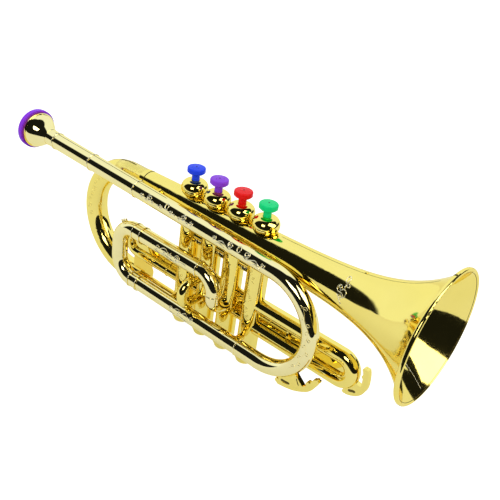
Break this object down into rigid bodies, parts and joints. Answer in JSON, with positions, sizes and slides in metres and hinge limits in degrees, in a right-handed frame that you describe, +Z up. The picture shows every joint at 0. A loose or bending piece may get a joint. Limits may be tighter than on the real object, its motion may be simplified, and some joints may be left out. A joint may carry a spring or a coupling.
{
  "type": "toy trumpet",
  "caption": "Gold-finished plastic toy trumpet with a row of sprung coloured keys on the bell tube, wound pipes and a flared bell.",
  "frame": {"origin": "centre of the bounding box at its bottom, under the bottom caps", "axes": "+X along the bell's axis toward its mouth, +Y toward the far side from the leadpipe, +Z up toward the keys"},
  "size_m": [0.3652, 0.09, 0.145],
  "materials": {
    "gold": "vacuum-metallised gold on moulded plastic, mirror gloss",
    "key_blue": "moulded, satin gloss",
    "key_purple": "moulded, satin gloss",
    "key_red": "moulded, satin gloss",
    "key_green": "moulded, satin gloss",
    "ring_purple": "moulded, satin gloss",
    "spring_steel": "drawn wire",
    "pad_rubber": "matt",
    "block_plastic": "moulded, matt",
    "reed_brass": "rolled strip"
  },
  "bodies": {
    "root": {"bell_far_half": "gold", "bell_near_half": "gold", "bottom_cap_1": "gold", "bottom_cap_2": "gold", "bottom_cap_3": "gold", "bottom_cap_4": "gold", "crook_brace": "gold", "crook_far_half": "gold", "crook_ferrule": "gold", "crook_lower_pipe": "gold", "crook_near_half": "gold", "first_valve_slide": "gold", "front_bow": "gold", "front_water_key": "gold", "key_spring_1": "spring_steel", "key_spring_2": "spring_steel", "key_spring_3": "spring_steel", "key_spring_4": "spring_steel", "leadpipe": "gold", "leadpipe_braces": "gold", "loop_elbow": "gold", "loop_pipe": "gold", "lower_pipe": "gold", "lower_pipe_braces": "gold", "mouthpiece_cup": "gold", "mouthpiece_ring": "ring_purple", "rear_water_key": "gold", "reed_1": "reed_brass", "reed_2": "reed_brass", "reed_3": "reed_brass", "reed_4": "reed_brass", "reed_block": "block_plastic", "second_valve_slide": "gold", "small_bow_ferrules": "gold", "small_rear_bow": "gold", "third_valve_slide": "gold", "valve_cap_1": "gold", "valve_cap_2": "gold", "valve_cap_3": "gold", "valve_cap_4": "gold", "valve_casing_1": "gold", "valve_casing_2": "gold", "valve_casing_3": "gold", "valve_casing_4": "gold", "valve_links": "gold"},
    "key_body_1": {"key_1": "key_blue", "valve_pad_1": "pad_rubber"},
    "key_body_2": {"key_2": "key_purple", "valve_pad_2": "pad_rubber"},
    "key_body_3": {"key_3": "key_red", "valve_pad_3": "pad_rubber"},
    "key_body_4": {"key_4": "key_green", "valve_pad_4": "pad_rubber"}
  },
  "joints": [
    {"name": "key_1_press", "type": "slide", "parent": "root", "child": "key_body_1", "axis": [0, 0, -1], "range_m": [0, 0.005], "stiffness_N_per_m": 150, "springref_m": -0.003, "deforming": ["key_spring_1"]},
    {"name": "key_2_press", "type": "slide", "parent": "root", "child": "key_body_2", "axis": [0, 0, -1], "range_m": [0, 0.005], "stiffness_N_per_m": 150, "springref_m": -0.003, "deforming": ["key_spring_2"]},
    {"name": "key_3_press", "type": "slide", "parent": "root", "child": "key_body_3", "axis": [0, 0, -1], "range_m": [0, 0.005], "stiffness_N_per_m": 150, "springref_m": -0.003, "deforming": ["key_spring_3"]},
    {"name": "key_4_press", "type": "slide", "parent": "root", "child": "key_body_4", "axis": [0, 0, -1], "range_m": [0, 0.005], "stiffness_N_per_m": 150, "springref_m": -0.003, "deforming": ["key_spring_4"]}
  ]
}
